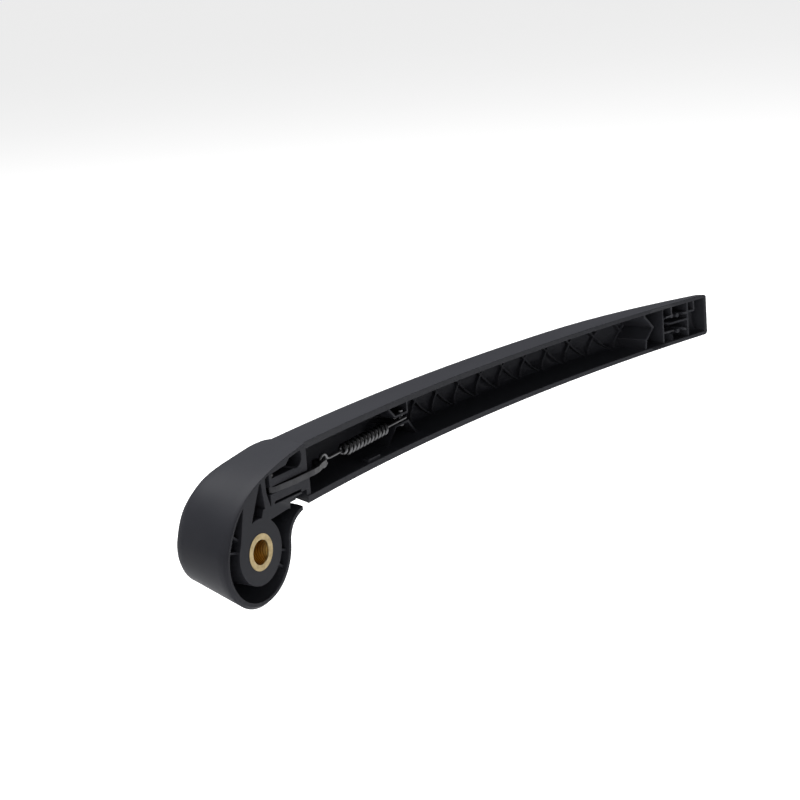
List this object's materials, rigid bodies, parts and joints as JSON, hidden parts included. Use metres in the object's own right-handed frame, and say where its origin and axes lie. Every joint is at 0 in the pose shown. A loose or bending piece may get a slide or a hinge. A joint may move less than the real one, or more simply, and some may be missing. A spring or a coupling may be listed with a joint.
{
  "type": "rear wiper arm",
  "caption": "Rear wiper arm: hollow round head with a brass spindle bore, hinged to a long curved channel arm with a tension link and spring.",
  "frame": {"origin": "centre of the spindle bore, on the glass-side face of the boss", "axes": "+X along the arm to its tip, +Y along the spindle away from the glass, +Z square to both, up in the picture"},
  "size_m": [0.3651, 0.0614, 0.0578],
  "materials": {
    "black_plastic": "matt, finely textured",
    "brass": "turned",
    "bright_steel": "satin",
    "spring_steel": "drawn wire"
  },
  "bodies": {
    "head": {"head": "black_plastic", "spindle_insert": "brass", "hinge_pin": "bright_steel", "link_pin": "bright_steel"},
    "arm": {"arm": "black_plastic", "anchor_pin": "bright_steel"},
    "link": {"tension_link": "bright_steel"},
    "spring": {"spring": "spring_steel"},
    "cap": {"nut_cap": "black_plastic"}
  },
  "joints": [
    {"name": "arm_lift", "type": "hinge", "parent": "head", "child": "arm", "pos_m": [0.034, 0.0183, 0.0222], "axis": [0, 0, 1], "range_deg": [0, 45]},
    {"name": "link_swing", "type": "hinge", "parent": "head", "child": "link", "pos_m": [0.013, 0.0025, 0.0222], "axis": [0, 0, 1], "range_deg": [0, 36]},
    {"name": "spring_swing", "type": "hinge", "parent": "arm", "child": "spring", "pos_m": [0.1205, 0.0122, 0.0222], "axis": [0, 0, 1], "range_deg": [-10.5, 0], "deforming": ["spring"]},
    {"name": "cap_off", "type": "slide", "parent": "head", "child": "cap", "axis": [0, 1, 0], "range_m": [0, 0.02]}
  ],
  "couplings": [
    {"joint": "link_swing", "follows": "arm_lift", "ratio": 0.78},
    {"joint": "spring_swing", "follows": "arm_lift", "ratio": -0.22}
  ]
}
